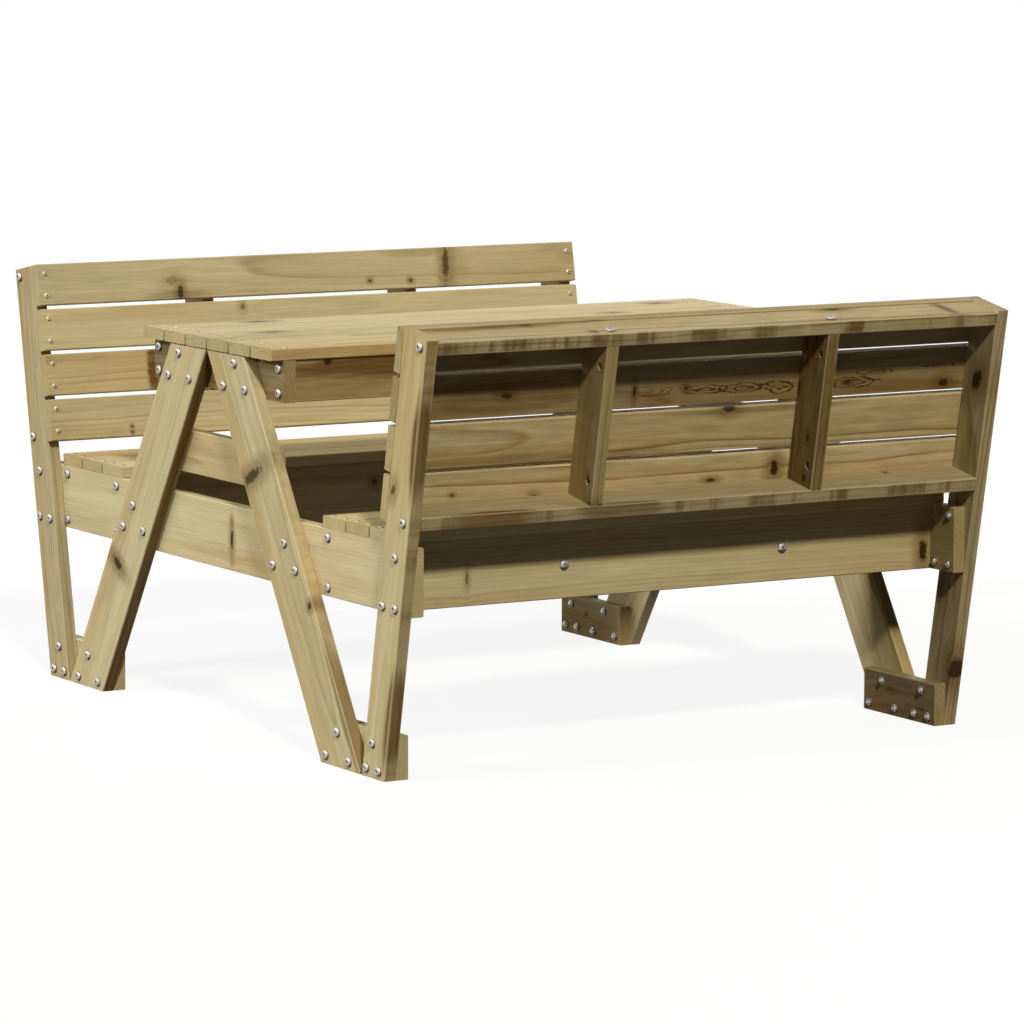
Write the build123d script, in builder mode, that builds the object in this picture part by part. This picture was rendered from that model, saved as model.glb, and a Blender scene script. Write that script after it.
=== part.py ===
from build123d import *

import os
from math import acos, atan2, cos, hypot, radians, sin, tan

os.makedirs("parts", exist_ok=True)

# Kids picnic table with two benches that lean back, all of planed softwood boards and bolts.
# X runs along the boards, Y across from bench to bench, Z up. The origin is on the ground,
# in the middle. Left is -X, right is +X, front is -Y and back is +Y. All sizes are in millimetres.

# Stock that the table is sawn from
timber_thickness = 18.0
board_width = 59.5
board_thickness = 16.0
board_gap = 4.0
edge_ease = 1.2

# Tabletop
overall_length = 900.0
table_height = 533.0
table_board_count = 6
cleat_width = 57.0
cleat_length = 378.0
table_apron_inset = 5.0

# Splayed legs, one pair to each end
leg_width = 90.0
leg_foot_outer = 429.5
leg_apex_gap = 3.0
leg_top_clearance = 1.5
tie_width = 59.0
tie_length = 320.0
tie_height_share = 0.3245

# Seats
seat_height = 323.0
seat_board_count = 3
seat_front_edge = 296.5
seat_apron_inset = 5.5
cross_rail_width = 90.0
cross_rail_length = 1065.0

# Backrests
post_width = 58.5
post_lean = 10.6
post_top_height = 590.0
foot_gap = 4.0
foot_block_height = 58.5
slat_count = 4
slat_gap = 5.7
backrest_clearance = 16.3
rail_inset = 2.5
support_spacing = 342.0

# Fasteners, with few sides to each because there are so many of them
head_sides = 8
shank_sides = 6
cap_nut_sides = 6
shank_diameter = 6.0
head_diameter = 14.0
head_height = 4.2
head_taper = 35.0
cap_nut_diameter = 12.0
cap_nut_height = 5.5
cap_nut_taper = 25.0
joint_bolt_length = 50.0
dowel_nut_diameter = 10.0
dowel_nut_length = 12.0
dowel_nut_recess = 1.0
dowel_nut_depth = 30.0
hole_clearance = 0.6
bolt_edge_inset = 12.0
bolt_rear_inset = 13.5
leg_bolt_spread = 62.0
leg_bolt_rise = 33.0
post_bolt_spread = 32.5
cut_overrun = 1.0

# Heights and widths that follow from them
half_length = overall_length / 2
board_pitch = board_width + board_gap
frame_layer_x = half_length - timber_thickness / 2
rail_layer_x = frame_layer_x - timber_thickness
rail_outer_x = rail_layer_x + timber_thickness / 2
rail_inner_x = rail_layer_x - timber_thickness / 2
table_underside = table_height - board_thickness
table_width = table_board_count * board_pitch - board_gap
cleat_centre_z = table_underside - cleat_width / 2
table_apron_y = cleat_length / 2 - table_apron_inset - timber_thickness / 2
seat_underside = seat_height - board_thickness
seat_depth = seat_board_count * board_pitch - board_gap
seat_back_edge = seat_front_edge + seat_depth
inner_apron_y = seat_front_edge + seat_apron_inset + timber_thickness / 2
outer_apron_y = seat_back_edge - seat_apron_inset - timber_thickness / 2
cross_rail_z = seat_underside - cross_rail_width / 2
support_x = support_spacing / 2

# A tie crosses the legs between the cross rail and the cleat.
tie_room = table_underside - cleat_width - seat_underside - tie_width
tie_bottom = seat_underside + tie_height_share * tie_room

# The inner edges of a pair of legs nearly meet under the tabletop, which sets their lean.
leg_top_height = table_underside - leg_top_clearance
leg_reach = leg_foot_outer - leg_apex_gap / 2
leg_lean = acos(leg_width / hypot(leg_reach, leg_top_height)) - atan2(leg_top_height, leg_reach)
leg_foot_width = leg_width / cos(leg_lean)

# A post leans outwards from the foot of its leg and is cut square at the top.
post_slope = tan(radians(post_lean))
post_foot_inner = leg_foot_outer + foot_gap
post_foot_outer = post_foot_inner + post_width / cos(radians(post_lean))
post_top_inner = post_foot_inner + post_top_height * post_slope

# The slats share the post between its top and a gap above the seat.
slat_run = (post_top_height - seat_height - backrest_clearance) / cos(radians(post_lean))
slat_pitch = (slat_run + slat_gap) / slat_count
slat_width = slat_pitch - slat_gap
top_rail_s = rail_inset + timber_thickness / 2
lower_rail_s = slat_run - rail_inset - timber_thickness / 2
rail_bolt_n = post_width - bolt_rear_inset


def upright_plane(x, side):
    # Faces along X: local x runs outwards from the middle of the table, local y runs up.
    return Plane(origin=(x, 0, 0), x_dir=(0, side, 0), z_dir=(side, 0, 0))


def backrest_plane(x, side):
    # Starts at the inner top corner of a post: local x runs rearwards, local y runs up the post.
    lean = radians(post_lean)
    corner = (x, side * post_top_inner, post_top_height)
    return Plane(origin=corner, x_dir=(0, side * cos(lean), -sin(lean)), z_dir=(side, 0, 0))


def leg_centre(height):
    return leg_foot_outer - leg_foot_width / 2 - height * tan(leg_lean)


def post_centre(height):
    return (post_foot_inner + post_foot_outer) / 2 + height * post_slope


# Bolt places are (distance out from the middle of the table, height above the ground).
def rail_bolt_heights(centre_z, width):
    return centre_z - width / 2 + bolt_edge_inset, centre_z + width / 2 - bolt_edge_inset


def triangle(centre, spread, low, high):
    return [(centre - spread / 2, low), (centre + spread / 2, low), (centre, high)]


foot_low, foot_high = rail_bolt_heights(foot_block_height / 2, foot_block_height)
cleat_low, cleat_high = rail_bolt_heights(cleat_centre_z, cleat_width)
rail_low, rail_high = rail_bolt_heights(cross_rail_z, cross_rail_width)
leg_rail_low = cross_rail_z - leg_bolt_rise / 2
leg_rail_high = cross_rail_z + leg_bolt_rise / 2

leg_foot_bolts = triangle(leg_centre(foot_low), leg_bolt_spread, foot_low, foot_high)
leg_rail_bolts = triangle(leg_centre(leg_rail_low), leg_bolt_spread, leg_rail_low, leg_rail_high)
leg_cleat_bolts = triangle(leg_centre(cleat_low), leg_bolt_spread, cleat_low, cleat_high)
post_foot_bolts = triangle(post_centre(0), post_bolt_spread, foot_low, foot_high)
post_rail_inner = post_centre(rail_low) - post_bolt_spread / 2
post_rail_outer = post_centre(rail_low) + post_bolt_spread / 2
post_rail_bolts = [
    (post_rail_inner, rail_low),
    (post_rail_outer, rail_low),
    (post_rail_outer, rail_high),
]
lap_bolts_of_a_corner = (
    leg_foot_bolts + leg_rail_bolts + leg_cleat_bolts + post_foot_bolts + post_rail_bolts
)
table_apron_bolts = [(table_apron_y, cleat_low), (table_apron_y, cleat_high)]
seat_apron_bolts = [(y, z) for y in (inner_apron_y, outer_apron_y) for z in (rail_low, rail_high)]
backrest_bolts = [(rail_bolt_n, -top_rail_s), (rail_bolt_n, -lower_rail_s)]

ends = {"left": -1, "right": 1}
benches = {"front": -1, "back": 1}


def save(piece, name):
    piece.part.label = name
    export_step(piece.part, f"parts/{name}.step")


def bar(plane, centre, size, length):
    # A planed bar whose section stands on the plane, with its four long edges eased.
    with BuildSketch(plane) as section:
        with Locations(centre):
            Rectangle(*size)
        chamfer(section.vertices(), length=edge_ease)
    extrude(section.sketch, amount=length / 2, both=True)


def drill(plane, centres, diameter, depth, both=False, sides=shank_sides):
    with BuildSketch(plane) as holes:
        with Locations(*centres):
            RegularPolygon(diameter / 2 + hole_clearance, sides)
    extrude(holes.sketch, amount=depth, both=both, mode=Mode.SUBTRACT)


def drill_through(plane, centres):
    # Goes right through timber whose middle the plane lies in.
    drill(plane, centres, shank_diameter, timber_thickness / 2 + cut_overrun, both=True)


def drill_ends(half, y, heights):
    # Blind holes for joint bolts in both ends of a bar along X.
    depth = joint_bolt_length - timber_thickness + cut_overrun
    for end in ends.values():
        end_face = Plane(origin=(end * half, 0, 0), x_dir=(0, 1, 0), z_dir=(-end, 0, 0))
        centres = [(y, -end * z) for z in heights]
        drill(end_face, centres, shank_diameter, depth)


def mirrored(places):
    return [(side * out, up) for side in benches.values() for out, up in places]


# Tabletop boards, from front to back
for number in range(table_board_count):
    board_y = number * board_pitch - (table_width - board_width) / 2
    with BuildPart() as table_board:
        board_centre = (board_y, table_height - board_thickness / 2)
        bar(Plane.YZ, board_centre, (board_width, board_thickness), overall_length)
    save(table_board, f"table_board_{number + 1}")

# Aprons between the cleats, one under each long edge of the tabletop
for bench, side in benches.items():
    with BuildPart() as table_apron:
        apron_y = side * table_apron_y
        bar(Plane.YZ, (apron_y, cleat_centre_z), (timber_thickness, cleat_width), 2 * rail_inner_x)
        drill_ends(rail_inner_x, apron_y, (cleat_low, cleat_high))
    save(table_apron, f"table_apron_{bench}")

# Cleat, tie and cross rail of each end, all on the inner face of the legs
for end_name, end in ends.items():
    layer = upright_plane(end * rail_layer_x, 1)

    with BuildPart() as cleat:
        cleat_section = (timber_thickness, cleat_width)
        bar(Plane.XZ, (end * rail_layer_x, cleat_centre_z), cleat_section, cleat_length)
        drill_through(layer, mirrored(leg_cleat_bolts + table_apron_bolts))
    save(cleat, f"table_cleat_{end_name}")

    with BuildPart() as tie:
        tie_centre = (end * rail_layer_x, tie_bottom + tie_width / 2)
        bar(Plane.XZ, tie_centre, (timber_thickness, tie_width), tie_length)
    save(tie, f"leg_tie_{end_name}")

    with BuildPart() as cross_rail:
        rail_section = (timber_thickness, cross_rail_width)
        bar(Plane.XZ, (end * rail_layer_x, cross_rail_z), rail_section, cross_rail_length)
        drill_through(layer, mirrored(leg_rail_bolts + post_rail_bolts + seat_apron_bolts))
    save(cross_rail, f"cross_rail_{end_name}")

# Legs, posts and foot blocks of the four corners
for end_name, end in ends.items():
    for bench, side in benches.items():
        corner = f"{end_name}_{bench}"
        frame_layer = upright_plane(end * frame_layer_x, side)
        rail_layer = upright_plane(end * rail_layer_x, side)

        with BuildPart() as leg:
            with BuildSketch(frame_layer):
                with BuildLine():
                    Polyline(
                        (leg_foot_outer, 0),
                        (leg_foot_outer - leg_foot_width, 0),
                        (leg_apex_gap / 2, leg_top_height),
                        (leg_apex_gap / 2 + leg_foot_width, leg_top_height),
                        close=True,
                    )
                make_face()
            extrude(amount=timber_thickness / 2, both=True)
            leg_axis = Axis((0, 0, 0), (0, -side * sin(leg_lean), cos(leg_lean)))
            chamfer(leg.edges().filter_by(leg_axis), length=edge_ease)
            drill_through(frame_layer, leg_foot_bolts + leg_rail_bolts + leg_cleat_bolts)
        save(leg, f"leg_{corner}")

        with BuildPart() as post:
            lean = radians(post_lean)
            post_top_outer = post_top_inner + post_width * cos(lean)
            with BuildSketch(frame_layer):
                with BuildLine():
                    Polyline(
                        (post_foot_inner, 0),
                        (post_foot_outer, 0),
                        (post_top_outer, post_top_height - post_width * sin(lean)),
                        (post_top_inner, post_top_height),
                        close=True,
                    )
                make_face()
            extrude(amount=timber_thickness / 2, both=True)
            post_axis = Axis((0, 0, 0), (0, side * sin(lean), cos(lean)))
            chamfer(post.edges().filter_by(post_axis), length=edge_ease)
            drill_through(frame_layer, post_foot_bolts + post_rail_bolts)
            drill_through(backrest_plane(end * frame_layer_x, side), backrest_bolts)
        save(post, f"backrest_post_{corner}")

        with BuildPart() as foot_block:
            block_inner = leg_foot_outer - leg_foot_width
            block_length = post_foot_outer - block_inner
            block_section = Plane(
                origin=(0, side * (block_inner + block_length / 2), 0),
                x_dir=(1, 0, 0),
                z_dir=(0, -1, 0),
            )
            block_centre = (end * rail_layer_x, foot_block_height / 2)
            bar(block_section, block_centre, (timber_thickness, foot_block_height), block_length)
            drill_through(rail_layer, leg_foot_bolts + post_foot_bolts)
        save(foot_block, f"foot_block_{corner}")

# Seats: three boards on two aprons and two joists to each bench
for bench, side in benches.items():
    for number in range(seat_board_count):
        board_y = side * (seat_front_edge + board_width / 2 + number * board_pitch)
        with BuildPart() as seat_board:
            board_centre = (board_y, seat_height - board_thickness / 2)
            bar(Plane.YZ, board_centre, (board_width, board_thickness), 2 * rail_outer_x)
        save(seat_board, f"seat_board_{bench}_{number + 1}")

    for place, distance in {"inner": inner_apron_y, "outer": outer_apron_y}.items():
        with BuildPart() as seat_apron:
            apron_y = side * distance
            apron_section = (timber_thickness, cross_rail_width)
            bar(Plane.YZ, (apron_y, cross_rail_z), apron_section, 2 * rail_inner_x)
            drill_ends(rail_inner_x, apron_y, (rail_low, rail_high))
            apron_face = Plane(origin=(0, apron_y, 0), x_dir=(1, 0, 0), z_dir=(0, -1, 0))
            drill_through(apron_face, [(x, cross_rail_z) for x in (-support_x, support_x)])
        save(seat_apron, f"seat_apron_{bench}_{place}")

    joist_length = outer_apron_y - inner_apron_y - timber_thickness
    joist_middle = side * (inner_apron_y + outer_apron_y) / 2
    for end_name, end in ends.items():
        with BuildPart() as joist:
            joist_section = Plane(origin=(0, joist_middle, 0), x_dir=(1, 0, 0), z_dir=(0, -1, 0))
            joist_centre = (end * support_x, cross_rail_z)
            bar(joist_section, joist_centre, (timber_thickness, cross_rail_width), joist_length)
            for way in (-1, 1):
                joist_end = Plane(
                    origin=(end * support_x, joist_middle + way * joist_length / 2, cross_rail_z),
                    x_dir=(1, 0, 0),
                    z_dir=(0, -way, 0),
                )
                depth = joint_bolt_length - timber_thickness + cut_overrun
                drill(joist_end, [(0, 0)], shank_diameter, depth)
        save(joist, f"seat_joist_{bench}_{end_name}")

# Backrests: four slats on the posts, two rails between the posts, two supports between the rails
for bench, side in benches.items():
    middle = backrest_plane(0, side)

    for number in range(slat_count):
        with BuildPart() as slat:
            slat_centre = (-board_thickness / 2, -number * slat_pitch - slat_width / 2)
            bar(middle, slat_centre, (board_thickness, slat_width), overall_length)
        save(slat, f"backrest_slat_{bench}_{number + 1}")

    for place, distance in {"top": top_rail_s, "lower": lower_rail_s}.items():
        with BuildPart() as rail:
            rail_centre = (post_width / 2, -distance)
            bar(middle, rail_centre, (post_width, timber_thickness), 2 * rail_outer_x)
            for end in ends.values():
                rail_end = backrest_plane(end * rail_outer_x, side)
                depth = joint_bolt_length - timber_thickness + cut_overrun
                inwards = -end * side * depth
                drill(rail_end, [(rail_bolt_n, -distance)], shank_diameter, inwards)
                support_seat = Plane(
                    origin=backrest_plane(end * support_x, side).from_local_coords(
                        (rail_bolt_n, -distance)
                    ),
                    x_dir=(1, 0, 0),
                    z_dir=middle.y_dir,
                )
                drill_through(support_seat, [(0, 0)])
        save(rail, f"backrest_{place}_rail_{bench}")

    support_top = top_rail_s + timber_thickness / 2
    support_bottom = lower_rail_s - timber_thickness / 2
    for end_name, end in ends.items():
        support_plane = backrest_plane(end * support_x, side)
        with BuildPart() as support:
            support_length = support_bottom - support_top
            support_middle = Plane(
                origin=support_plane.from_local_coords(
                    (post_width / 2, -(support_top + support_bottom) / 2)
                ),
                x_dir=(1, 0, 0),
                z_dir=middle.y_dir,
            )
            bar(support_middle, (0, 0), (timber_thickness, post_width), support_length)
            nut_bore_length = dowel_nut_recess + dowel_nut_length
            nut_face = backrest_plane(end * support_x - timber_thickness / 2, side)
            nut_places = [
                (rail_bolt_n, -support_top - dowel_nut_depth),
                (rail_bolt_n, -support_bottom + dowel_nut_depth),
            ]
            bore = side * nut_bore_length
            drill(nut_face, nut_places, dowel_nut_diameter, bore, sides=head_sides)
            for start, way in ((support_top, -1), (support_bottom, 1)):
                bolt_way = Plane(
                    origin=support_plane.from_local_coords((rail_bolt_n, -start)),
                    x_dir=(1, 0, 0),
                    z_dir=middle.y_dir * way,
                )
                depth = joint_bolt_length - timber_thickness + cut_overrun
                drill(bolt_way, [(0, 0)], shank_diameter, depth)
        save(support, f"backrest_support_{bench}_{end_name}")


def bolt(length):
    # A bolt whose head stands on height zero and whose shank points down.
    with BuildPart() as piece:
        with BuildSketch(Plane.XY):
            RegularPolygon(head_diameter / 2, head_sides)
        extrude(amount=head_height, taper=head_taper)
        with BuildSketch(Plane.XY):
            RegularPolygon(shank_diameter / 2, shank_sides)
        extrude(amount=-length)
    return piece


def seats_on_end(x, way, places):
    # Seats of fasteners on a face across X, whose heads point along X the given way.
    return [
        Plane(origin=(x, side * out, up), x_dir=(0, 1, 0), z_dir=(way, 0, 0))
        for side in benches.values()
        for out, up in places
    ]


# Bolts through the laps of legs and posts, with a closed cap nut on the inner face
lap_bolt = bolt(2 * timber_thickness)
with BuildPart() as cap_nut:
    with BuildSketch(Plane.XY):
        RegularPolygon(cap_nut_diameter / 2, cap_nut_sides)
    extrude(amount=cap_nut_height, taper=cap_nut_taper)

with BuildPart() as lap_bolts:
    for end in ends.values():
        with Locations(*seats_on_end(end * half_length, end, lap_bolts_of_a_corner)):
            add(lap_bolt.part)
save(lap_bolts, "lap_bolts")

with BuildPart() as cap_nuts:
    for end in ends.values():
        with Locations(*seats_on_end(end * rail_inner_x, -end, lap_bolts_of_a_corner)):
            add(cap_nut.part)
save(cap_nuts, "cap_nuts")

# Joint bolts through one piece into the end of another, and the barrel nuts of the supports
joint_bolt = bolt(joint_bolt_length)
joint_seats = []
dowel_seats = []
for end in ends.values():
    apron_bolts = table_apron_bolts + seat_apron_bolts
    joint_seats += seats_on_end(end * rail_outer_x, end, apron_bolts)
    for side in benches.values():
        post_face = backrest_plane(end * half_length, side)
        for place in backrest_bolts:
            origin = post_face.from_local_coords(place)
            joint_seats.append(Plane(origin=origin, x_dir=(0, 1, 0), z_dir=(end, 0, 0)))
        support_plane = backrest_plane(end * support_x, side)
        for distance, way in ((top_rail_s, 1), (lower_rail_s, -1)):
            head_seat = -distance + way * timber_thickness / 2
            origin = support_plane.from_local_coords((rail_bolt_n, head_seat))
            up_post = support_plane.y_dir * way
            joint_seats.append(Plane(origin=origin, x_dir=(1, 0, 0), z_dir=up_post))
            nut_s = head_seat - way * (timber_thickness + dowel_nut_depth)
            nut_origin = support_plane.from_local_coords((rail_bolt_n, nut_s))
            dowel_seats.append(Plane(origin=nut_origin, x_dir=up_post, z_dir=(1, 0, 0)))
        for distance, way in ((inner_apron_y, -1), (outer_apron_y, 1)):
            face_y = side * (distance + way * timber_thickness / 2)
            origin = (end * support_x, face_y, cross_rail_z)
            joint_seats.append(Plane(origin=origin, x_dir=(1, 0, 0), z_dir=(0, side * way, 0)))

with BuildPart() as joint_bolts:
    with Locations(*joint_seats):
        add(joint_bolt.part)
save(joint_bolts, "joint_bolts")

with BuildPart() as dowel_nut:
    nut_middle = dowel_nut_recess + dowel_nut_length / 2 - timber_thickness / 2
    with BuildSketch(Plane.XY.offset(nut_middle)):
        RegularPolygon(dowel_nut_diameter / 2, head_sides)
    extrude(amount=dowel_nut_length / 2, both=True)
    drill(Plane.YZ, [(0, 0)], shank_diameter, dowel_nut_diameter, both=True)

with BuildPart() as dowel_nuts:
    with Locations(*dowel_seats):
        add(dowel_nut.part)
save(dowel_nuts, "dowel_nuts")
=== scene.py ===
import math
import random

import bmesh
import bpy
import numpy as np
from mathutils import Matrix, Vector


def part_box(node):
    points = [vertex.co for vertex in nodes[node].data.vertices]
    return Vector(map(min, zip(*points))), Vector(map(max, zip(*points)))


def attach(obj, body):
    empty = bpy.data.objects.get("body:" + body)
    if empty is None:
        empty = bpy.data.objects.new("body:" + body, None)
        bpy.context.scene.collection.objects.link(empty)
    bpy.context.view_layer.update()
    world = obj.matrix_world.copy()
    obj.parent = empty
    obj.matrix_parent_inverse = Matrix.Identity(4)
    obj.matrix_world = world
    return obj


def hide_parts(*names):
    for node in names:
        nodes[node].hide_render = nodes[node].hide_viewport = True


# Kids picnic table of planed, pressure-treated pine with zinc-plated bolts
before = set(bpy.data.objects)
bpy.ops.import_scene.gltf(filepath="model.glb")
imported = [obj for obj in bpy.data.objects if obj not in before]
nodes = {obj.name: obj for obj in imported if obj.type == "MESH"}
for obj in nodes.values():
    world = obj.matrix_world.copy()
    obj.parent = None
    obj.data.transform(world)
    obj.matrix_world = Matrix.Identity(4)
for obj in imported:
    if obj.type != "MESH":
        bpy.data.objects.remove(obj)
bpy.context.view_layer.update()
mm = 0.001
print("frame loaded with", len(nodes), "nodes")


# Camera at the photograph's viewing angle
photoCamera = {
    "place": (-3.72168, -6.33098, 1.2268),
    "heading": 59.332,  # degrees from +X towards +Y
    "pitch": -7.454,
    "roll": 0.237,
    "lens": 185.453,
}


def makeCamera(look):
    heading, pitch, roll = (math.radians(look[key]) for key in ("heading", "pitch", "roll"))
    ahead = Vector((
        math.cos(pitch) * math.cos(heading),
        math.cos(pitch) * math.sin(heading),
        math.sin(pitch),
    ))
    level = Vector((math.sin(heading), -math.cos(heading), 0))
    upright = level.cross(ahead)
    right = level * math.cos(roll) + upright * math.sin(roll)
    up = upright * math.cos(roll) - level * math.sin(roll)
    data = bpy.data.cameras.new("photoCamera")
    data.lens = look["lens"]
    data.sensor_width = 36
    data.clip_start, data.clip_end = 0.1, 60
    camera = bpy.data.objects.new("photoCamera", data)
    placed = Matrix((right, up, -ahead)).transposed().to_4x4()
    placed.translation = look["place"]
    camera.matrix_world = placed
    bpy.context.scene.collection.objects.link(camera)
    bpy.context.scene.camera = camera


makeCamera(photoCamera)
print("camera placed")


# Small helpers for node trees
def addNode(tree, kind, **settings):
    made = tree.nodes.new(kind)
    for key, value in settings.items():
        setattr(made, key, value)
    return made


def feed(tree, socket, value):
    if isinstance(value, bpy.types.NodeSocket):
        tree.links.new(value, socket)
    else:
        socket.default_value = value


def calc(tree, operation, *values, clamp=False):
    made = addNode(tree, "ShaderNodeMath", operation=operation, use_clamp=clamp)
    for socket, value in zip(made.inputs, values):
        feed(tree, socket, value)
    return made.outputs[0]


def vectorCalc(tree, operation, *values):
    made = addNode(tree, "ShaderNodeVectorMath", operation=operation)
    for socket, value in zip(made.inputs, values):
        feed(tree, socket, value)
    return made.outputs["Value" if operation in ("DOT_PRODUCT", "LENGTH") else "Vector"]


def step(tree, value, low, high, start=0.0, end=1.0):
    made = addNode(tree, "ShaderNodeMapRange", interpolation_type="SMOOTHSTEP")
    for socket, given in zip(made.inputs, (value, low, high, start, end)):
        feed(tree, socket, given)
    return made.outputs[0]


def noise(tree, vector, scale, detail=2.0, roughness=0.5):
    made = addNode(tree, "ShaderNodeTexNoise")
    feed(tree, made.inputs["Vector"], vectorCalc(tree, "MULTIPLY", vector, scale))
    made.inputs["Scale"].default_value = 1.0
    made.inputs["Detail"].default_value = detail
    made.inputs["Roughness"].default_value = roughness
    return made


def blend(tree, amount, first, second, mode="MIX"):
    made = addNode(tree, "ShaderNodeMix", data_type="RGBA", blend_type=mode)
    feed(tree, made.inputs[0], amount)
    feed(tree, made.inputs[6], first)
    feed(tree, made.inputs[7], second)
    return made.outputs[2]


def splitVector(tree, vector):
    made = addNode(tree, "ShaderNodeSeparateXYZ")
    feed(tree, made.inputs[0], vector)
    return made.outputs


def squares(tree, first, second):
    return calc(tree, "ADD", calc(tree, "MULTIPLY", first, first),
                calc(tree, "MULTIPLY", second, second))


def addBump(tree, height, look):
    made = addNode(tree, "ShaderNodeBump")
    made.inputs["Strength"].default_value = look["bump"]
    made.inputs["Distance"].default_value = look["bumpDepth"] * mm
    feed(tree, made.inputs["Height"], height)
    return made.outputs[0]


def paint(red, green, blue):
    # sRGB 0-255 to the linear colour that the sockets take
    linear = [c / 12.92 if c <= 0.04045 else ((c + 0.055) / 1.055) ** 2.4
              for c in (red / 255, green / 255, blue / 255)]
    return (*linear, 1.0)


def newGroup(name, inputs, outputs):
    tree = bpy.data.node_groups.new(name, "ShaderNodeTree")
    kinds = {"vector": "NodeSocketVector", "value": "NodeSocketFloat", "colour": "NodeSocketColor"}
    for label, kind in inputs.items():
        tree.interface.new_socket(name=label, in_out="INPUT", socket_type=kinds[kind])
    for label, kind in outputs.items():
        tree.interface.new_socket(name=label, in_out="OUTPUT", socket_type=kinds[kind])
    return tree, addNode(tree, "NodeGroupInput").outputs, addNode(tree, "NodeGroupOutput").inputs


def useGroup(tree, group, vector, values):
    made = addNode(tree, "ShaderNodeGroup", node_tree=group)
    feed(tree, made.inputs["Vector"], vector)
    for label, value in values.items():
        feed(tree, made.inputs[label], value)
    return made.outputs


def newMaterial(name):
    made = bpy.data.materials.new(name)
    made.use_nodes = True
    made.node_tree.nodes.clear()
    return made, made.node_tree


def endMaterial(tree, shader):
    feed(tree, addNode(tree, "ShaderNodeOutputMaterial").inputs[0], shader.outputs[0])


# A knot: bends the grain round itself and gives its core, its own rings and its halo. Reaches
# are in knot radii.
knotLook = {"ragged": 1.6, "bend": 0.85, "core": (0.55, 1.1), "halo": (0.8, 3.6), "rings": 3.4}


def makeKnotGroup(look):
    tree, given, result = newGroup(
        "pineKnot",
        {"Vector": "vector", "Along": "value", "Across": "value", "Radius": "value",
         "Stretch": "value", "Turn": "value", "Dark": "value"},
        {"Vector": "vector", "Core": "value", "Halo": "value", "Ring": "value"},
    )
    place = splitVector(tree, given["Vector"])
    rough = noise(tree, given["Vector"], (75, 150, 60), 4.0, 0.65)
    shake = vectorCalc(tree, "SUBTRACT", rough.outputs[1], (0.5, 0.5, 0.5))
    shift = splitVector(tree, vectorCalc(tree, "MULTIPLY", shake, (look["ragged"],) * 3))
    along = calc(tree, "SUBTRACT", place[0], given["Along"])
    aside = calc(tree, "SUBTRACT", place[1], given["Across"])
    turnCos, turnSin = (calc(tree, kind, given["Turn"]) for kind in ("COSINE", "SINE"))
    away = calc(tree, "MULTIPLY_ADD", along, turnCos, calc(tree, "MULTIPLY", aside, turnSin))
    beside = calc(tree, "SUBTRACT", calc(tree, "MULTIPLY", aside, turnCos),
                  calc(tree, "MULTIPLY", along, turnSin))
    away = calc(tree, "DIVIDE", away, given["Stretch"])
    away = calc(tree, "MULTIPLY_ADD", shift[0], given["Radius"], away)
    beside = calc(tree, "MULTIPLY_ADD", shift[1], given["Radius"], beside)
    square = squares(tree, away, beside)
    own = calc(tree, "MULTIPLY", given["Radius"], given["Radius"])
    pull = calc(tree, "DIVIDE", own, calc(tree, "MAXIMUM", square, own))
    bent = calc(tree, "MULTIPLY", calc(tree, "MULTIPLY", aside, pull), -look["bend"])
    joined = addNode(tree, "ShaderNodeCombineXYZ")
    feed(tree, joined.inputs[1], bent)
    feed(tree, result["Vector"], vectorCalc(tree, "ADD", given["Vector"], joined.outputs[0]))
    reach = calc(tree, "DIVIDE", calc(tree, "SQRT", square), given["Radius"])
    for label, ends in (("Core", look["core"]), ("Halo", look["halo"])):
        feed(tree, result[label],
             calc(tree, "MULTIPLY", step(tree, reach, *ends, 1.0, 0.0), given["Dark"]))
    feed(tree, result["Ring"],
         calc(tree, "PINGPONG", calc(tree, "MULTIPLY", reach, look["rings"]), 1.0))
    return tree


# A brown patch with soft, streaky edges and, where wanted, dark lines that loop in it: mostly
# resin-rich wood, once a painted shadow. Reaches are in half lengths and half widths of the patch.
patchLook = {"ragged": 0.9, "edge": (0.95, 1.65), "waver": 1.5, "firstLoop": 0.65,
             "halfGap": 0.275, "line": (0.05, 0.17), "lastLoop": (1.9, 2.1)}


def makePatchGroup(look):
    tree, given, result = newGroup(
        "brownPatch",
        {"Vector": "vector", "Along": "value", "Across": "value", "Half Length": "value",
         "Half Width": "value", "Amount": "value", "Lined": "value"},
        {"Brown Patch": "value", "Line": "value"},
    )
    place = splitVector(tree, given["Vector"])
    ragged = noise(tree, given["Vector"], (7, 60, 60), 3.0, 0.6)
    away = calc(tree, "DIVIDE", calc(tree, "SUBTRACT", place[0], given["Along"]),
                given["Half Length"])
    aside = calc(tree, "DIVIDE", calc(tree, "SUBTRACT", place[1], given["Across"]),
                 given["Half Width"])
    plain = calc(tree, "SQRT", squares(tree, away, aside))
    reach = calc(tree, "MULTIPLY_ADD", ragged.outputs[0], look["ragged"], plain)
    feed(tree, result["Brown Patch"],
         calc(tree, "MULTIPLY", step(tree, reach, *look["edge"], 1.0, 0.0), given["Amount"]))
    wavy = noise(tree, given["Vector"], (48, 170, 90), 2.5, 0.55)
    loop = calc(tree, "MULTIPLY_ADD", wavy.outputs[0], look["waver"], plain)
    off = calc(tree, "PINGPONG", calc(tree, "SUBTRACT", loop, look["firstLoop"]),
               look["halfGap"])
    line = calc(tree, "MULTIPLY", step(tree, off, *look["line"], 1.0, 0.0),
                step(tree, ragged.outputs[0], 0.36, 0.56, 0.15, 1.0))  # broken here and there
    line = calc(tree, "MULTIPLY", line, step(tree, loop, *look["lastLoop"], 1.0, 0.0))
    feed(tree, result["Line"], calc(tree, "MULTIPLY", line, given["Lined"]))
    return tree


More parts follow.
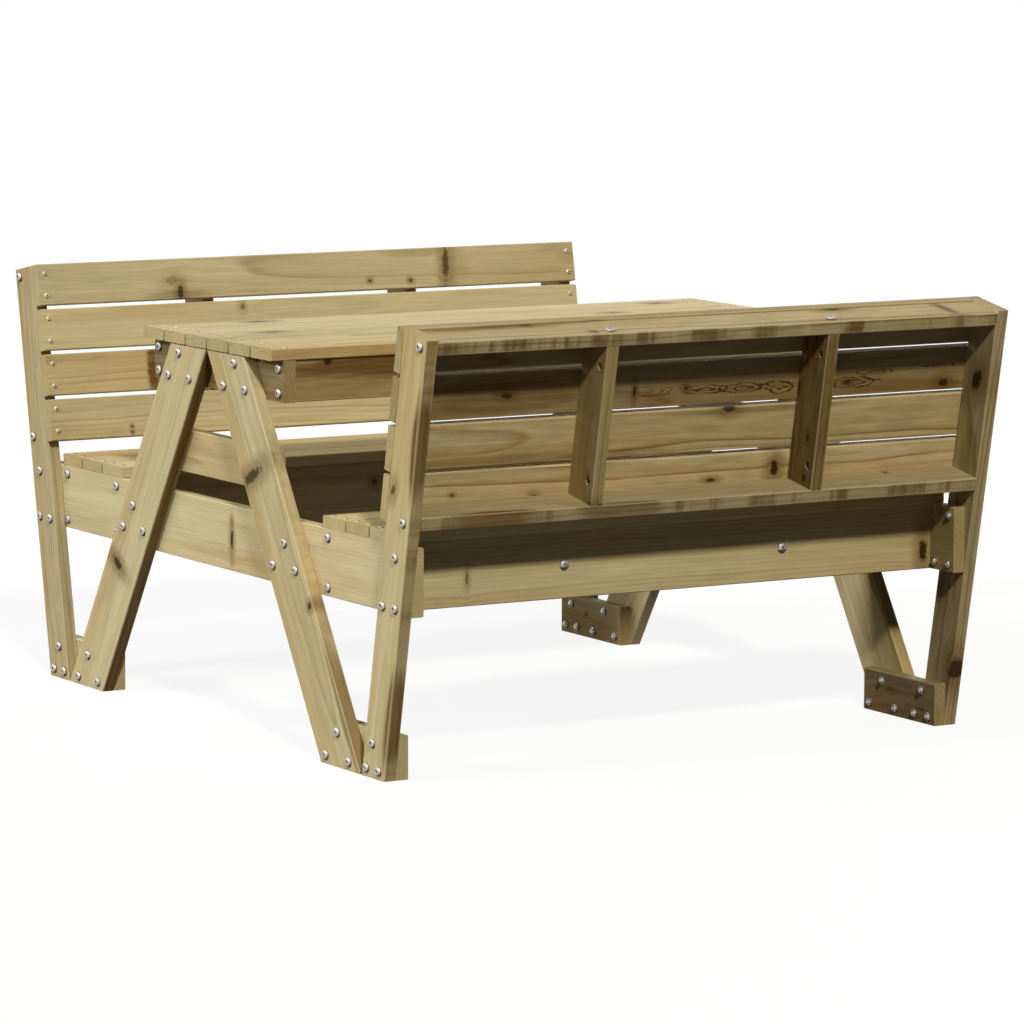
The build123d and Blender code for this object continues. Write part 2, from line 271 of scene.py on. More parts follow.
pinePaint = {
    "pale": paint(199, 183, 141),
    "warm": paint(186, 160, 105),
    "green": paint(176, 161, 115),
    "late": paint(128, 97, 51),
    "brown": paint(104, 74, 32),
    "blush": paint(172, 140, 98),
    # the next colour serves pale streaks and bleached bars, and also the painted highlight on the
    # long edges
    "paleAndHighlight": paint(206, 192, 153),
    "endGrain": paint(172, 155, 108),
    "knot": paint(42, 26, 16),
    "resin": paint(62, 36, 18),
}


# How strongly each colour lies over the wood, and the grain's other strengths
grainLook = {
    "drift": 28,  # mm that the rings stray
    "unevenYears": 2.2, "lateSharpness": 3.2,
    "strongYear": 0.75, "faintYear": 0.16, "strongRarity": 2.2,
    "green": 0.4, "blush": 0.35, "paleStreak": 0.28, "bleached": 0.6,
    "endGrain": 0.5, "edgeHighlight": 0.28, "edgeHighlightWidth": 1.4, "edgeHighlightUneven": 2.2,  # widths in mm
    "halo": 0.62, "line": 0.9, "heart": 0.8,
}


# Sawn pine: growth rings round a pith that lies off the board, fibres, blotches and a painted
# highlight along the edges
def makeGrainGroup(colours, look):
    tree, given, result = newGroup(
        "sawnPine",
        {"Vector": "vector", "Place": "vector", "Seed": "value", "Pith Y": "value",
         "Pith Z": "value", "Ring Gap": "value", "Taper": "value", "Half Width": "value",
         "Half Depth": "value", "Warmth": "value", "Contrast": "value", "Shade": "value",
         "Tan": "value", "Edge Tan": "value", "Bands": "value", "End": "value", "Edge": "value",
         "Core": "value", "Halo": "value", "Ring": "value", "Line": "value", "Brown Patch": "value"},
        {"Color": "colour", "Roughness": "value", "Height": "value"},
    )
    offset = vectorCalc(tree, "MULTIPLY", given["Seed"], (3.17, 1.93, 2.71))
    here = vectorCalc(tree, "ADD", given["Vector"], offset)
    wander = noise(tree, here, (2.0, 9, 9), 2.0)
    drift = vectorCalc(tree, "MULTIPLY",
                       vectorCalc(tree, "SUBTRACT", wander.outputs[1], (0.5, 0.5, 0.5)),
                       (0.0, look["drift"] * mm, look["drift"] * mm))
    moved = splitVector(tree, vectorCalc(tree, "ADD", given["Vector"], drift))
    fromPithY = calc(tree, "SUBTRACT", moved[1], given["Pith Y"])
    fromPithZ = calc(tree, "SUBTRACT", moved[2], given["Pith Z"])
    radius = calc(tree, "SQRT", squares(tree, fromPithY, fromPithZ))
    radius = calc(tree, "MULTIPLY_ADD", moved[0], given["Taper"], radius)
    years = noise(tree, here, (0.4, 26, 26), 1.0)
    phase = calc(tree, "MULTIPLY_ADD", years.outputs[0], look["unevenYears"],
                 calc(tree, "DIVIDE", radius, given["Ring Gap"]))
    season = calc(tree, "FRACT", phase)
    late = calc(tree, "MULTIPLY", calc(tree, "POWER", season, look["lateSharpness"]),
                step(tree, season, 0.86, 1.0, 1.0, 0.0))
    # some years leave a strong line, most a faint one
    rate = addNode(tree, "ShaderNodeTexWhiteNoise", noise_dimensions="1D")
    feed(tree, rate.inputs["W"], calc(tree, "ADD", calc(tree, "FLOOR", phase), given["Seed"]))
    yearly = calc(tree, "POWER", rate.outputs["Value"], look["strongRarity"])

    # all of them finer across the grain than along it
    broad = noise(tree, here, (1.1, 12, 12), 3.0, 0.55)
    patch = noise(tree, here, (3.2, 26, 26), 3.0, 0.6)
    fibre = noise(tree, here, (9, 560, 560), 4.0, 0.6)
    streak = noise(tree, here, (3.0, 120, 120), 3.0, 0.6)
    mottle = noise(tree, here, (16, 85, 85), 4.0, 0.68)
    fleck = noise(tree, here, (26, 380, 380), 3.0, 0.6)

    warm = step(tree, calc(tree, "ADD", broad.outputs[0], given["Warmth"]), 0.36, 0.72)
    colour = blend(tree, warm, colours["pale"], colours["warm"])
    green = calc(tree, "MULTIPLY", step(tree, patch.outputs[0], 0.4, 0.75), look["green"])
    colour = blend(tree, green, colour, colours["green"])
    strength = calc(tree, "MULTIPLY_ADD", yearly, look["strongYear"], look["faintYear"])
    strength = calc(tree, "MULTIPLY", strength,
                    step(tree, streak.outputs[0], 0.2, 0.7, 0.55, 1.25))
    ringed = calc(tree, "MULTIPLY", calc(tree, "MULTIPLY", late, strength), given["Contrast"],
                  clamp=True)
    colour = blend(tree, ringed, colour, colours["late"])
    rosy = calc(tree, "MULTIPLY", step(tree, broad.outputs[0], 0.58, 0.75), look["blush"])
    colour = blend(tree, rosy, colour, colours["blush"])
    early = step(tree, streak.outputs[0], 0.56, 0.76, 0.0, look["paleStreak"])
    early = calc(tree, "MULTIPLY", early, given["Contrast"], clamp=True)
    colour = blend(tree, early, colour, colours["paleAndHighlight"])

    # brown bars across the narrow faces, where the saw met the rings edge on
    bars = noise(tree, here, (21, 3, 3), 3.0, 0.7)
    barred = calc(tree, "MULTIPLY", step(tree, bars.outputs[0], 0.46, 0.62), given["Bands"])
    bleached = calc(tree, "MULTIPLY",
                    step(tree, bars.outputs[0], 0.3, 0.42, look["bleached"], 0.0),
                    calc(tree, "MULTIPLY", given["Bands"], given["Edge"]))
    colour = blend(tree, bleached, colour, colours["paleAndHighlight"])
    tanned = calc(tree, "MULTIPLY", calc(tree, "ADD", barred, given["Edge Tan"]), given["Edge"])
    tanned = calc(tree, "MAXIMUM", tanned, given["Tan"])
    tanned = calc(tree, "MAXIMUM", tanned, given["Brown Patch"])
    tanned = calc(tree, "MULTIPLY", tanned, step(tree, streak.outputs[0], 0.3, 0.75, 0.8, 1.15),
                  clamp=True)
    colour = blend(tree, tanned, colour, colours["brown"])

    hair = step(tree, fibre.outputs[0], 0.3, 0.7, 0.93, 1.05)
    tinge = step(tree, streak.outputs[0], 0.3, 0.7, 0.93, 1.05)
    cloud = step(tree, mottle.outputs[0], 0.32, 0.68, -0.07, 0.05)
    cloud = calc(tree, "MULTIPLY_ADD", cloud, given["Contrast"], 1.0)
    dashed = step(tree, fleck.outputs[0], 0.58, 0.72, 1.0, 0.91)
    light = calc(tree, "MULTIPLY", calc(tree, "MULTIPLY", hair, tinge), given["Shade"])
    light = calc(tree, "MULTIPLY", light, calc(tree, "MULTIPLY", cloud, dashed))
    shaded = vectorCalc(tree, "SCALE", colour)
    feed(tree, shaded.node.inputs["Scale"], light)

    # end grain drinks more of the treatment, so it is darker and its rings are plainer
    ends = blend(tree, step(tree, season, 0.35, 0.95, 0.1, 0.35), colours["endGrain"],
                 colours["late"])
    colour = blend(tree, calc(tree, "MULTIPLY", given["End"], look["endGrain"]), shaded, ends)

    # painted highlight: a pale band along the long edges, where eased edges would catch the light
    place = splitVector(tree, given["Place"])
    inY = calc(tree, "SUBTRACT", given["Half Width"], calc(tree, "ABSOLUTE", place[1]))
    inZ = calc(tree, "SUBTRACT", given["Half Depth"], calc(tree, "ABSOLUTE", place[2]))
    toEdge = calc(tree, "MAXIMUM", inY, inZ)
    toEdge = calc(tree, "MULTIPLY_ADD", patch.outputs[0], -look["edgeHighlightUneven"] * mm, toEdge)
    paleAndHighlight = calc(tree, "MULTIPLY",
                step(tree, toEdge, 0.0, look["edgeHighlightWidth"] * mm, look["edgeHighlight"], 0.0),
                calc(tree, "SUBTRACT", 1.0, given["End"]))
    colour = blend(tree, paleAndHighlight, colour, colours["paleAndHighlight"])

    for label, key, over in (("Halo", "halo", "brown"), ("Line", "line", "resin")):
        colour = blend(tree, calc(tree, "MULTIPLY", given[label], look[key]), colour,
                       colours[over])
    heart = blend(tree, given["Ring"], colours["knot"], colours["brown"])
    heart = blend(tree, look["heart"], heart, colours["knot"])
    colour = blend(tree, given["Core"], colour, heart)
    feed(tree, result["Color"], colour)

    rough = step(tree, streak.outputs[0], 0.25, 0.75, 0.66, 0.8)
    rough = calc(tree, "MULTIPLY_ADD", given["Core"], -0.12, rough)
    feed(tree, result["Roughness"], calc(tree, "MULTIPLY_ADD", given["End"], 0.15, rough))
    height = calc(tree, "MULTIPLY_ADD", fibre.outputs[0], 0.55, calc(tree, "MULTIPLY", late, 0.3))
    height = calc(tree, "MULTIPLY_ADD", given["Core"], -0.35, height)
    feed(tree, result["Height"], height)
    return tree


knotGroup = makeKnotGroup(knotLook)
patchGroup = makePatchGroup(patchLook)
grainGroup = makeGrainGroup(pinePaint, grainLook)
print("node groups made")


# How each kind of board lies: lean from upright in degrees, the ways its grain and its width
# run, and half its width and half its thickness in mm
boardLean = {"leg": 31.98, "backrest": 10.6}
boardKinds = {
    "table_board": {"grain": "along", "width": "across", "half": (29.75, 8)},
    "table_apron": {"grain": "along", "width": "up", "half": (28.5, 9)},
    "table_cleat": {"grain": "across", "width": "up", "half": (28.5, 9)},
    "leg_tie": {"grain": "across", "width": "up", "half": (29.5, 9)},
    "cross_rail": {"grain": "across", "width": "up", "half": (45, 9)},
    "leg_left": {"grain": "leg", "width": "besideLeg", "half": (45, 9)},
    "leg_right": {"grain": "leg", "width": "besideLeg", "half": (45, 9)},
    "backrest_post": {"grain": "post", "width": "behindPost", "half": (29.25, 9)},
    "foot_block": {"grain": "across", "width": "up", "half": (29.25, 9)},
    "seat_board": {"grain": "along", "width": "across", "half": (29.75, 8)},
    "seat_apron": {"grain": "along", "width": "up", "half": (45, 9)},
    "seat_joist": {"grain": "across", "width": "up", "half": (45, 9)},
    "backrest_slat": {"grain": "along", "width": "post", "half": (29.75, 8)},
    "backrest_top_rail": {"grain": "along", "width": "behindPost", "half": (29.25, 9)},
    "backrest_lower_rail": {"grain": "along", "width": "behindPost", "half": (29.25, 9)},
    "backrest_support": {"grain": "post", "width": "behindPost", "half": (29.25, 9)},
}


def boardWays(name):
    side = -1 if "front" in name else 1
    leg, post = (math.radians(boardLean[key]) for key in ("leg", "backrest"))
    return {
        "along": Vector((1, 0, 0)),
        "across": Vector((0, 1, 0)),
        "up": Vector((0, 0, 1)),
        "leg": Vector((0, -side * math.sin(leg), math.cos(leg))),
        "besideLeg": Vector((0, side * math.cos(leg), math.sin(leg))),
        "post": Vector((0, side * math.sin(post), math.cos(post))),
        "behindPost": Vector((0, side * math.cos(post), -math.sin(post))),
    }


# Knots by board: place along and across in mm from its middle, radius in mm, stretch along the
# grain, turn in degrees, then how dark the core is
knots = {
    "leg_left_back": [(-88, 14, 17, 0.42, 0, 1)],
    "leg_left_front": [(-88, 37, 5.5, 0.9, 0, 0.95), (129, -17, 29, 0.3, 4, 0.9)],
    "cross_rail_left": [(-39, -2, 15, 0.27, 0, 1), (-39, 14, 9, 0.3, 0, 0.5)],
    "backrest_post_left_front": [(84, -17, 5.5, 1.7, 12, 0.75)],
    "table_board_4": [(-337, -9, 7, 2.0, 0, 1), (228, 15, 6.5, 1.8, 0, 0.95),
                      (323, -21, 3, 1, 0, 0.9), (383, -21, 6, 1.6, 0, 1)],
    "table_board_6": [(-280, 7, 7, 2.2, 0, 1), (361, -14, 7.5, 1.6, 0, 1)],
    "table_apron_front": [(-363, 23, 4.5, 1.8, 0, 1)],
    "backrest_slat_back_1": [(-224, -21, 11, 0.5, 0, 0.9), (-236, -4, 7, 1.6, 0, 0.35),
                             (93, -16, 2.6, 1.2, 0, 0.8), (162, -18, 2.8, 1.2, 0, 0.8),
                             (225, 3, 27, 0.24, -3, 0.75)],
    "backrest_slat_back_2": [(-124, 20, 5, 0.8, 0, 0.55)],
    "backrest_slat_back_4": [(-321, -16, 2, 1, 0, 0.9), (-321, -24, 2, 1, 0, 0.9)],
    "backrest_slat_front_2": [(-288, -2, 4.5, 2.0, -8, 1), (-94, -7, 7.5, 0.35, 0, 1),
                              (-14, -6, 3, 1.2, 0, 0.9), (243, -11, 4, 2.2, 0, 0.7),
                              (399, -20, 6, 1.5, 0, 1)],
    "backrest_slat_front_3": [(56, 27, 5.5, 2.0, 0, 0.9)],
    "backrest_slat_front_4": [(140, 5, 12, 0.6, 0, 1), (41, -5, 2.8, 2.6, 0, 0.9),
                              (-355, -1, 2, 1.5, 0, 0.8), (-233, -12, 4, 1.3, 0, 1)],
    "backrest_top_rail_front": [(-196, 17, 4, 1.2, 0, 0.8), (201, -31, 9, 1.7, 0, 1),
                                (368, -2, 22, 0.2, -6, 1), (-322, -26, 1.8, 32, 0, 0.9),
                                (-273, -28, 6, 1.5, 0, 1)],
    "seat_apron_front_outer": [(-318, -8, 9, 0.3, 0, 0.6), (402, -20, 19, 0.4, 0, 1)],
    "backrest_support_front_right": [(60, -12, 3, 1.6, 0, 0.9), (-40, 8, 3.5, 2, 0, 0.9),
                                     (-95, 10, 4, 1.5, 0, 0.9), (20, -24, 4, 3, 0, 0.7),
                                     (98, 2, 3.5, 2, 0, 0.9), (85, -18, 2.5, 3, 0, 0.8)],
    "backrest_support_front_left": [(-70, 14, 2.5, 1.6, 0, 0.7), (-108, 26, 5, 1.2, 0, 0.7)],
    "backrest_post_right_front": [(190, 2, 12, 1.5, 20, 1), (-214, 34, 13, 1.3, 0, 1)],
    "foot_block_right_front": [(20, 8, 3, 4, 0, 0.6), (-50, -10, 2.5, 5, 0, 0.6)],
}

# Brown patches by board, one of them a painted shadow: place along and across, half length and
# half width in mm, how brown it is and how plain the lines in it are
patchesByBoard = {
    "backrest_slat_front_2": [(-290, 0, 160, 40, 0.85, 0), (-66, -7, 30, 6, 0.3, 1),
                              (-15, -6, 9, 5, 0.5, 1), (17, -9, 33, 6, 0.3, 1),
                              (73, -10, 35, 6, 0.3, 1), (133, -12, 21, 8, 0.3, 1),
                              (252, -11, 34, 7, 0.4, 1), (284, 1, 28, 3.5, 0.3, 1),
                              (386, 5, 24, 2, 0.3, 1)],
    "backrest_slat_front_3": [(-250, -22, 220, 8, 0.5, 0),
                              (100, 24, 180, 5, 0.4, 0)],
    "backrest_slat_front_4": [(60, -24, 260, 7, 0.45, 0)],
    "backrest_top_rail_front": [(-330, -20, 110, 9, 0.6, 0), (120, 18, 160, 6, 0.5, 0)],
    "backrest_post_left_front": [(155, 30, 75, 13, 0.95, 0), (-212, 30, 75, 13, 0.9, 0)],
    "backrest_post_right_front": [(60, 0, 130, 16, 0.5, 0)],
    "backrest_lower_rail_front": [(-330, 31, 90, 14, 0.9, 0), (-130, 31, 80, 14, 0.85, 0)],
    "leg_left_front": [(-250, 46, 120, 11, 0.7, 0)],
    "leg_right_front": [(-60, 46, 200, 12, 0.8, 0)],
    "table_apron_front": [(-100, 13, 480, 24, 0.85, 0)],
    # painted shadow: a dark band across the whole width of the third back slat, where the table's
    # left end shades it
    "backrest_slat_back_3": [(-279, 0, 11, 44, 1, 0)],
    "backrest_slat_back_1": [(-225, -24, 60, 8, 0.4, 0), (240, 0, 30, 30, 0.2, 0)],
}

# What differs from board to board; the rest is drawn by chance
boardLooks = {
    "backrest_top_rail_front": {"Bands": 0.75, "Tan": 0.25, "Edge Tan": 0.1, "Shade": 0.92,
                                "Contrast": 1.7},
    "backrest_lower_rail_front": {"Bands": 0.42, "Tan": 0.4, "Edge Tan": 0.4, "Shade": 0.96,
                                  "Contrast": 1.3},
    "backrest_post_left_back": {"Shade": 0.83, "Warmth": 0.07, "Contrast": 1.4},
    "backrest_post_left_front": {"Shade": 0.97, "Warmth": 0.05, "Edge Tan": 0.25, "Bands": 0.4},
    "backrest_post_right_front": {"Tan": 0.3, "Edge Tan": 0.3, "Contrast": 1.8},
    "backrest_slat_front_1": {"Tan": 0.45, "Contrast": 1.4},
    "backrest_slat_front_2": {"Tan": 0.68, "Contrast": 1.6},
    "backrest_slat_front_3": {"Warmth": 0.1, "Tan": 0.06, "Contrast": 1.8, "Ring Gap": 0.006,
                              "Pith Y": 0.012, "Pith Z": -0.055, "Taper": 0.012, "Shade": 1.02},
    "backrest_slat_front_4": {"Warmth": 0.02, "Contrast": 1.6, "Shade": 1.02},
    "backrest_slat_back_2": {"Shade": 1.12, "Warmth": -0.12, "Contrast": 0.4},
    "backrest_slat_back_3": {"Shade": 1.04, "Warmth": -0.02, "Contrast": 0.7},
    "backrest_slat_back_4": {"Contrast": 0.8, "Shade": 0.98},
    "table_apron_front": {"Tan": 0.3, "Shade": 0.88, "Contrast": 1.6, "Warmth": 0.12},
    "table_cleat_left": {"Tan": 0.8},
    "table_board_2": {"Shade": 0.94, "Contrast": 1.3},
    "table_board_3": {"Shade": 0.93, "Contrast": 1.4},
    "table_board_4": {"Shade": 0.92, "Contrast": 1.3},
    "backrest_support_front_right": {"Tan": 0.82, "Edge Tan": 0.3, "Contrast": 3.0, "Shade": 0.96},
    "backrest_support_front_left": {"Tan": 0.34, "Edge Tan": 0.25, "Contrast": 1.0, "Shade": 0.96},
    "leg_left_back": {"Warmth": -0.1, "Edge Tan": 1.0, "Contrast": 0.6, "Shade": 1.0},
    "leg_left_front": {"Warmth": 0.04, "Shade": 0.94, "Edge Tan": 0.1, "Contrast": 0.9,
                       "Bands": 0.2},
    "leg_tie_left": {"Warmth": 0.04, "Shade": 0.94},
    "cross_rail_left": {"Warmth": -0.12, "Contrast": 0.5, "Pith Y": -0.14, "Pith Z": 0.02,
                        "Ring Gap": 0.004, "Taper": 0.004, "Shade": 1.04},
    "cross_rail_right": {"Tan": 0.5, "Edge Tan": 0.0},
    "seat_apron_front_outer": {"Contrast": 0.8, "Shade": 1.06, "Pith Y": -0.12, "Pith Z": 0.03,
                               "Taper": 0.01},
    "seat_apron_back_inner": {"Shade": 0.98, "Warmth": -0.1},
    "seat_board_front_3": {"Shade": 1.2},
    "seat_board_front_1": {"Shade": 1.15},
    "seat_board_back_1": {"Shade": 1.15},
    "foot_block_right_front": {"Tan": 0.62, "Contrast": 2.4, "Shade": 0.86},
    "foot_block_right_back": {"Tan": 0.2, "Contrast": 1.6},
}


def kindOf(name):
    return boardKinds[max((k for k in boardKinds if name.startswith(k)), key=len)]


def chanceKnots(dice, half):
    found = []
    for count in range(dice.choice((0, 1, 1, 2, 3))):
        across = dice.uniform(-0.8, 0.8) * half
        found.append((dice.uniform(-340, 340), across, dice.uniform(1.8, 5.5),
                      dice.uniform(0.9, 1.6), dice.uniform(-12, 12), dice.uniform(0.6, 0.95)))
    return found


pineFinish = {"specular": 0.08, "bump": 0.35, "bumpDepth": 0.5}


def makePine(name, number):
    kind, ways = kindOf(name), boardWays(name)
    grain, width = ways[kind["grain"]], ways[kind["width"]]
    low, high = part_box(name)
    dice = random.Random(number * 7919 + 11)
    look = {
        "Seed": number * 1.37,
        "Pith Y": dice.uniform(-30, 30) * mm,
        "Pith Z": dice.choice((-1, 1)) * dice.uniform(20, 60) * mm,
        "Ring Gap": dice.uniform(5, 9) * mm,
        "Taper": dice.uniform(-0.03, 0.03),
        "Warmth": dice.uniform(-0.06, 0.06),
        "Contrast": dice.uniform(0.45, 0.9),
        "Shade": dice.uniform(0.95, 1.05),
        "Tan": 0.0,
        "Edge Tan": dice.uniform(0.0, 0.12),
        "Bands": 0.0,
    }
    look.update(boardLooks.get(name, {}))

    material, tree = newMaterial("pine_" + name)
    coords = addNode(tree, "ShaderNodeTexCoord")
    mapping = addNode(tree, "ShaderNodeMapping", vector_type="TEXTURE")
    mapping.inputs["Location"].default_value = (low + high) / 2
    turned = Matrix((grain, width, grain.cross(width))).transposed()
    mapping.inputs["Rotation"].default_value = turned.to_euler()
    feed(tree, mapping.inputs["Vector"], coords.outputs["Object"])

    flow = mapping.outputs[0]
    masks = {"Core": 0.0, "Halo": 0.0, "Ring": 0.0, "Line": 0.0, "Brown Patch": 0.0}

    def widen(label, found):
        if isinstance(masks[label], float):
            masks[label] = found
        else:
            masks[label] = calc(tree, "MAXIMUM", masks[label], found)

    found = knots[name] if name in knots else chanceKnots(dice, kind["half"][0])
    for along, across, radius, stretch, turn, dark in found:
        knot = useGroup(tree, knotGroup, flow, {
            "Along": along * mm, "Across": across * mm, "Radius": radius * mm,
            "Stretch": stretch, "Turn": math.radians(turn), "Dark": dark,
        })
        flow = knot["Vector"]
        for label in ("Core", "Halo", "Ring"):
            widen(label, knot[label])
    for along, across, halfLength, halfWidth, amount, lined in patchesByBoard.get(name, ()):
        patchMarks = useGroup(tree, patchGroup, mapping.outputs[0], {
            "Along": along * mm, "Across": across * mm, "Half Length": halfLength * mm,
            "Half Width": halfWidth * mm, "Amount": amount, "Lined": lined,
        })
        for label in ("Brown Patch", "Line"):
            widen(label, patchMarks[label])

    sides = {}
    for label, way in (("End", grain), ("Edge", width)):
        facing = vectorCalc(tree, "DOT_PRODUCT", coords.outputs["Normal"], tuple(way))
        sides[label] = step(tree, calc(tree, "ABSOLUTE", facing), 0.5, 0.85)
    pine = useGroup(tree, grainGroup, flow, {
        **look, **masks, **sides, "Place": mapping.outputs[0],
        "Half Width": kind["half"][0] * mm, "Half Depth": kind["half"][1] * mm,
    })
    shader = addNode(tree, "ShaderNodeBsdfPrincipled")
    shader.inputs["Specular IOR Level"].default_value = pineFinish["specular"]
    feed(tree, shader.inputs["Base Color"], pine["Color"])
    feed(tree, shader.inputs["Roughness"], pine["Roughness"])
    feed(tree, shader.inputs["Normal"], addBump(tree, pine["Height"], pineFinish))
    endMaterial(tree, shader)
    return material


metalNodes = ("lap_bolts", "joint_bolts", "cap_nuts", "dowel_nuts")
for number, name in enumerate(sorted(set(nodes) - set(metalNodes))):
    piece = nodes[name]
    material = makePine(name, number)
    if piece.material_slots:
        for slot in piece.material_slots:
            slot.material = material
    else:
        piece.data.materials.append(material)
print("pine finished on", number + 1, "boards")


# Zinc-plated steel, with painted shade on the faces turned down, for the dark underside of each
# head. Bump depths are in mm.
zinc = {
    "colour": paint(170, 164, 158), "dull": paint(130, 124, 118), "shadeColour": paint(28, 23, 18),
    "shadedFacing": (0.15, -0.2, -0.96),  # faces turned this way get painted shade
    "shadeFrom": 0.32, "fade": 0.24, "shadeDepth": 0.97, "bump": 0.15, "bumpDepth": 0.1,
}
# Screws take a warmer tone, and their painted shade is a reddish-dark crescent on the lower side
# of the head
screwZinc = {
    **zinc,
    "colour": paint(190, 174, 148), "dull": paint(150, 132, 108), "shadeColour": paint(60, 36, 22),
    "shadedFacing": (0.42, -0.1, -0.9), "shadeFrom": 0.3,
}
socketPaint = {"light": paint(150, 145, 140), "dark": paint(104, 99, 94)}


def makeZinc(name, look):
    material, tree = newMaterial(name)
    coords = addNode(tree, "ShaderNodeTexCoord")
    cloud = noise(tree, coords.outputs["Object"], (320, 320, 320), 3.0, 0.6)
    grit = noise(tree, coords.outputs["Object"], (2400, 2400, 2400), 2.0, 0.5)
    plated = blend(tree, step(tree, cloud.outputs[0], 0.4, 0.75), look["colour"], look["dull"])
    # painted shade: faces turned the shaded way go dark and lose their metal
    turnedDown = vectorCalc(tree, "DOT_PRODUCT", coords.outputs["Normal"], look["shadedFacing"])
    turnedDown = calc(tree, "MULTIPLY_ADD", cloud.outputs[0], 0.2, turnedDown)
    underShade = step(tree, turnedDown, look["shadeFrom"], look["shadeFrom"] + look["fade"], 0.0, look["shadeDepth"])
    shader = addNode(tree, "ShaderNodeBsdfPrincipled")
    feed(tree, shader.inputs["Metallic"], calc(tree, "SUBTRACT", 1.0, underShade))
    feed(tree, shader.inputs["Base Color"], blend(tree, underShade, plated, look["shadeColour"]))
    feed(tree, shader.inputs["Roughness"], step(tree, cloud.outputs[0], 0.3, 0.7, 0.42, 0.6))
    feed(tree, shader.inputs["Normal"], addBump(tree, grit.outputs[0], look))
    endMaterial(tree, shader)
    return material


def makeSocketGrey(look):
    material, tree = newMaterial("socketGrey")
    shader = addNode(tree, "ShaderNodeBsdfPrincipled")
    coords = addNode(tree, "ShaderNodeTexCoord")
    speckle = noise(tree, coords.outputs["Object"], (900, 900, 900), 3.0, 0.6)
    feed(tree, shader.inputs["Base Color"],
         blend(tree, step(tree, speckle.outputs[0], 0.35, 0.65), look["light"], look["dark"]))
    feed(tree, shader.inputs["Roughness"], step(tree, speckle.outputs[0], 0.35, 0.65, 0.6, 0.85))
    endMaterial(tree, shader)
    return material


zincSteel = makeZinc("zincSteel", zinc)
screwSteel = makeZinc("screwSteel", screwZinc)
socketGrey = makeSocketGrey(socketPaint)


# Fasteners are turned round Z, with the head standing on height zero, and then set in place.
# Their sizes are in mm.
turning = {
    "segments": 24, "boltSteps": 6, "nutSteps": 6, "screwSteps": 4,
    "crisp": 32,  # degrees, past which an edge isn't smoothed
}


def spinProfile(points):
    made = bmesh.new()
    verts = [made.verts.new((r * mm, 0, z * mm)) for r, z in points]
    edges = [made.edges.new(pair) for pair in zip(verts, verts[1:])]
    bmesh.ops.spin(made, geom=verts + edges, cent=(0, 0, 0), axis=(0, 0, 1), dvec=(0, 0, 0),
                   angle=math.tau, steps=turning["segments"], use_merge=True)
    bmesh.ops.remove_doubles(made, verts=made.verts, dist=0.02 * mm)
    return made


def domeProfile(shape, steps):
    # from the socket's mouth out to the rim
    dome = []
    for count in range(steps + 1):
        part = math.sin(count / steps * math.pi / 2)
        reach = shape["mouth"] + (shape["radius"] - shape["mouth"]) * part
        lift = math.sqrt(max(0, 1 - (reach / shape["radius"]) ** 2))
        dome.append((reach, shape["rim"] + shape["rise"] * lift))
    return dome


def makeSided(made, sides, flat, low, high, inner, outer):
    # turns the rings between two radii and heights into a prism with that many sides
    for vert in made.verts:
        r, turn = math.hypot(vert.co.x, vert.co.y), math.atan2(vert.co.y, vert.co.x)
        if inner * mm < r < outer * mm and low * mm < vert.co.z < high * mm:
            part = math.tau / sides
            off = (turn % part) - part / 2
            grown = flat * mm / math.cos(off) / r
            vert.co.x *= grown
            vert.co.y *= grown


def greySocket(made, radius):
    # the walls and floor of the socket take the second slot's matt, darker grey
    for face in made.faces:
        middle = face.calc_center_median()
        if math.hypot(middle.x, middle.y) < radius * mm and middle.z > 0.2 * mm:
            face.material_index = 1


def toTemplate(made, name):
    bmesh.ops.recalc_face_normals(made, faces=made.faces)
    mesh = bpy.data.meshes.new(name)
    made.to_mesh(mesh)
    made.free()
    return mesh


boltShape = {
    "radius": 6.95, "rim": 1.3, "rise": 2.85, "foot": 5.9, "shank": 2.9, "tipChamfer": 0.8,
    "mouth": 2.6, "socket": 2.1, "socketFloor": 2.3, "socketSides": 6,
    "short": 0.5,  # so that its tip stays inside the solid's
}


def makeBolt(shape, length):
    socket, shank = shape["socket"], shape["shank"]
    dome = domeProfile(shape, turning["boltSteps"])
    mouthHeight = dome[0][1]
    points = [(0, shape["socketFloor"] - 0.5), (socket, shape["socketFloor"]),
              (socket, mouthHeight - 0.35)]
    points += dome
    points += [(shape["radius"] - 0.1, shape["rim"] - 0.5), (shape["foot"], 0), (shank, 0),
               (shank, 1 - length), (shank - shape["tipChamfer"], -length), (0, -length)]
    made = spinProfile(points)
    makeSided(made, shape["socketSides"], socket, shape["socketFloor"] - 0.1, mouthHeight - 0.1,
              socket - 0.1, socket + 0.1)
    greySocket(made, socket + 0.15)
    return toTemplate(made, "bolt")


capNutShape = {"flat": 5.15, "sides": 6, "skirt": 2.3, "shoulder": 0.5, "dome": 4.35,
               "height": 5.5}


def makeCapNut(shape):
    flat, skirt, dome = shape["flat"], shape["skirt"], shape["dome"]
    foot = skirt + shape["shoulder"]
    rise = shape["height"] - skirt - shape["shoulder"]
    points = [(0, 0), (flat, 0), (flat, skirt), (dome, foot)]
    for count in range(1, turning["nutSteps"]):
        turn = count / turning["nutSteps"] * math.pi / 2
        points.append((dome * math.cos(turn), foot + rise * math.sin(turn)))
    points.append((0, shape["height"]))
    made = spinProfile(points)
    makeSided(made, shape["sides"], flat, -0.1, skirt + 0.1, flat - 0.1, flat + 0.1)
    return toTemplate(made, "capNut")


screwShape = {"radius": 3.8, "rim": 0.35, "rise": 1.45, "mouth": 1.8, "lobe": 1.3,
              "lobes": 6, "lobeDepth": 0.28, "shank": 1.6, "length": 30, "point": 5}


